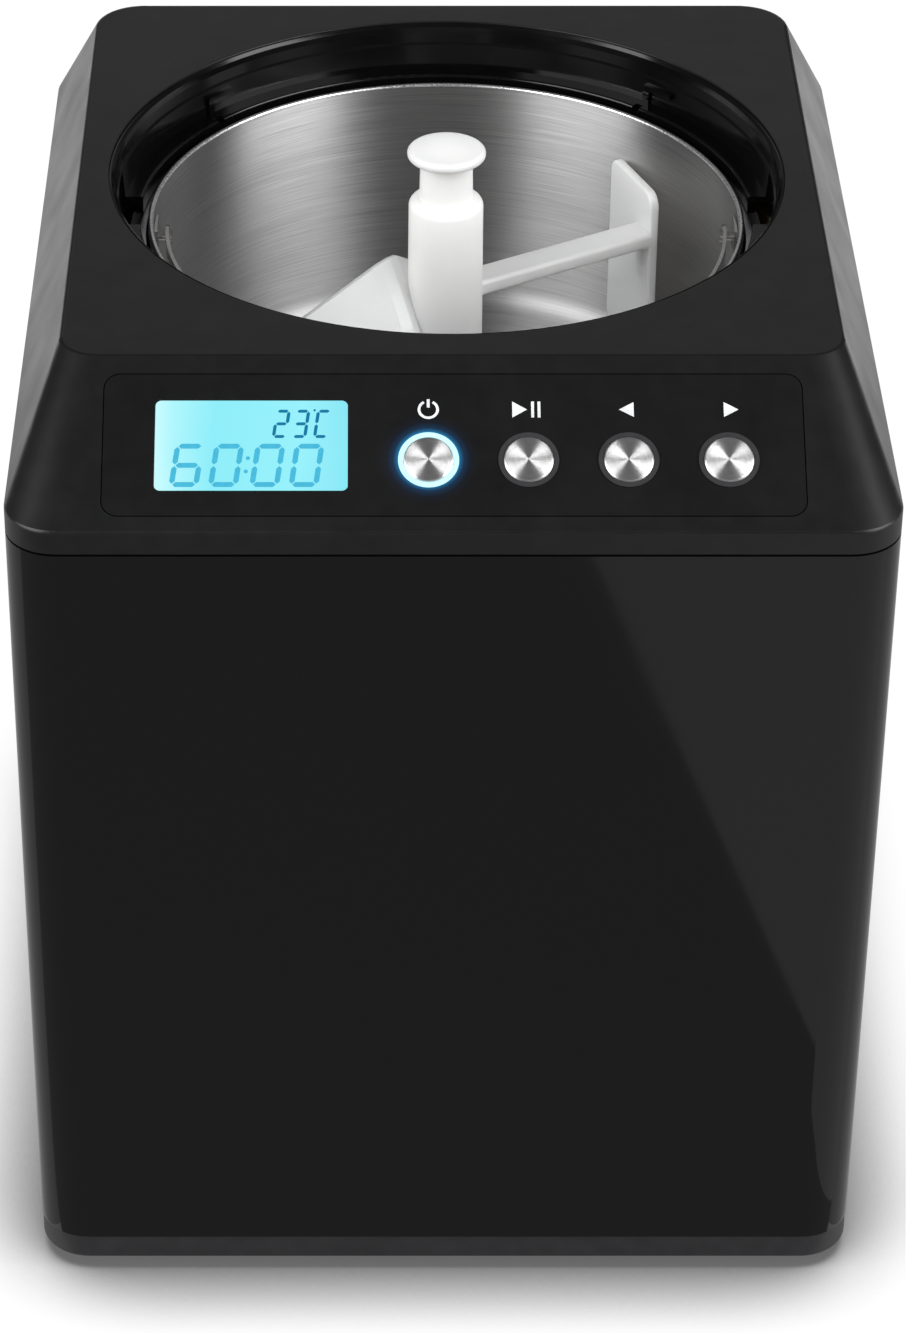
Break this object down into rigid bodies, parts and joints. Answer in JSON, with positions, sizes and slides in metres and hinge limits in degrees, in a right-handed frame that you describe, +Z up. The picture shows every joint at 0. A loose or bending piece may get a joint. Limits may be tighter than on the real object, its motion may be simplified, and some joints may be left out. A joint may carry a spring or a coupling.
{
  "type": "ice cream maker",
  "caption": "Upright compressor ice cream maker with a sloped control panel, a lift-out steel bowl and a stirring paddle.",
  "frame": {"origin": "on the ground, under the middle of the housing's outline", "axes": "+Z up, +X to the right seen from the control side, +Y from the control panel towards the back"},
  "size_m": [0.28, 0.323, 0.3415],
  "materials": {
    "dark_plastic": "fine moulded texture",
    "foot_rubber": "matt",
    "screw_steel": "zinc plated",
    "gloss_black": "high gloss black",
    "satin_grey": "satin dark grey",
    "fascia": "satin",
    "display": "lit cyan",
    "board_parts": "moulded",
    "circuit_board": "solder resist",
    "light_ring": "lit, translucent",
    "black_plastic": "satin black",
    "collar_black": "semi gloss",
    "seal_rubber": "soft",
    "well_aluminium": "spun",
    "copper": "copper tube",
    "foam": "cellular foam",
    "bowl_steel": "circumferential brushing",
    "white_plastic": "milky, slightly translucent",
    "shaft_steel": "ground",
    "gear_nylon": "natural nylon",
    "gear_brass": "turned",
    "motor_can": "plated",
    "bronze": "sintered",
    "plated_sheet": "galvanised",
    "compressor_black": "baked enamel",
    "fin_aluminium": "mill finish",
    "button_steel": "spun face"
  },
  "bodies": {
    "root": {"base_tray": "dark_plastic", "feet": "foot_rubber", "base_screws": "screw_steel", "housing": "gloss_black", "rear_panel": "dark_plastic", "rear_screws": "screw_steel", "cord_gland": "foot_rubber", "side_grille_left": "dark_plastic", "side_grille_right": "dark_plastic", "top_cover": "satin_grey", "control_fascia": "fascia", "display_window": "display", "display_module": "board_parts", "control_board": "circuit_board", "button_switches": "board_parts", "power_light_ring": "light_ring", "button_bezels": "black_plastic", "bowl_collar": "collar_black", "collar_gasket": "seal_rubber", "evaporator_well": "well_aluminium", "evaporator_coil": "copper", "insulation_jacket": "foam", "idler_pin": "shaft_steel", "drive_motor": "motor_can", "gearbox_case": "black_plastic", "gearbox_cover": "black_plastic", "gearbox_screws": "screw_steel", "shaft_bushes": "bronze", "shaft_seal": "seal_rubber", "chassis": "black_plastic", "compressor": "compressor_black", "compressor_grommets": "foot_rubber", "compressor_bolts": "screw_steel", "terminal_cover": "black_plastic", "condenser_tube": "copper", "condenser_fins": "fin_aluminium", "fan_frame": "black_plastic", "filter_drier": "copper", "refrigerant_lines": "copper", "power_board": "circuit_board", "board_bracket": "plated_sheet"},
    "bowl": {"removable_bowl": "bowl_steel", "handle_brackets": "bowl_steel"},
    "bowl_handle": {"bowl_handle": "bowl_steel"},
    "stirrer_drive": {"drive_bush": "white_plastic"},
    "paddle": {"paddle": "white_plastic"},
    "output_shaft": {"output_shaft": "shaft_steel", "output_gear": "gear_nylon"},
    "idler_gear": {"idler_gear": "gear_nylon"},
    "motor_rotor": {"motor_pinion": "gear_brass", "motor_shaft": "shaft_steel"},
    "fan_rotor": {"fan_rotor": "black_plastic"},
    "power_button": {"power_button_cap": "button_steel", "power_button_plunger": "black_plastic"},
    "start_button": {"start_button_cap": "button_steel", "start_button_plunger": "black_plastic"},
    "down_button": {"down_button_cap": "button_steel", "down_button_plunger": "black_plastic"},
    "up_button": {"up_button_cap": "button_steel", "up_button_plunger": "black_plastic"}
  },
  "joints": [
    {"name": "bowl_lift", "type": "slide", "parent": "root", "child": "bowl", "axis": [0, 0, 1], "range_m": [0, 0.125]},
    {"name": "bowl_handle_hinge", "type": "hinge", "parent": "bowl", "child": "bowl_handle", "pos_m": [0, 0.0184, 0.308], "axis": [-1, 0, 0], "range_deg": [0, 180]},
    {"name": "stirrer_spin", "type": "hinge", "parent": "bowl", "child": "stirrer_drive", "pos_m": [0, 0.0184, 0.26], "axis": [0, 0, 1], "continuous": true},
    {"name": "paddle_lift", "type": "slide", "parent": "stirrer_drive", "child": "paddle", "axis": [0, 0, 1], "range_m": [0, 0.18]},
    {"name": "output_shaft_spin", "type": "hinge", "parent": "root", "child": "output_shaft", "pos_m": [0, 0.0184, 0.2], "axis": [0, 0, 1], "continuous": true},
    {"name": "idler_spin", "type": "hinge", "parent": "root", "child": "idler_gear", "pos_m": [-0.02652, -0.00812, 0.165], "axis": [0, 0, 1], "continuous": true},
    {"name": "motor_spin", "type": "hinge", "parent": "root", "child": "motor_rotor", "pos_m": [-0.00777, -0.04059, 0.16], "axis": [0, 0, 1], "continuous": true},
    {"name": "fan_spin", "type": "hinge", "parent": "root", "child": "fan_rotor", "pos_m": [-0.0915, 0.018, 0.086], "axis": [1, 0, 0], "continuous": true},
    {"name": "power_button_press", "type": "slide", "parent": "root", "child": "power_button", "axis": [0, 0.5314, -0.8471], "range_m": [0, 0.0012], "stiffness_N_per_m": 500, "springref_m": -0.002},
    {"name": "start_button_press", "type": "slide", "parent": "root", "child": "start_button", "axis": [0, 0.5314, -0.8471], "range_m": [0, 0.0012], "stiffness_N_per_m": 500, "springref_m": -0.002},
    {"name": "down_button_press", "type": "slide", "parent": "root", "child": "down_button", "axis": [0, 0.5314, -0.8471], "range_m": [0, 0.0012], "stiffness_N_per_m": 500, "springref_m": -0.002},
    {"name": "up_button_press", "type": "slide", "parent": "root", "child": "up_button", "axis": [0, 0.5314, -0.8471], "range_m": [0, 0.0012], "stiffness_N_per_m": 500, "springref_m": -0.002}
  ],
  "couplings": [
    {"joint": "output_shaft_spin", "follows": "stirrer_spin", "ratio": 1},
    {"joint": "idler_spin", "follows": "stirrer_spin", "ratio": -4},
    {"joint": "motor_spin", "follows": "stirrer_spin", "ratio": 16}
  ]
}
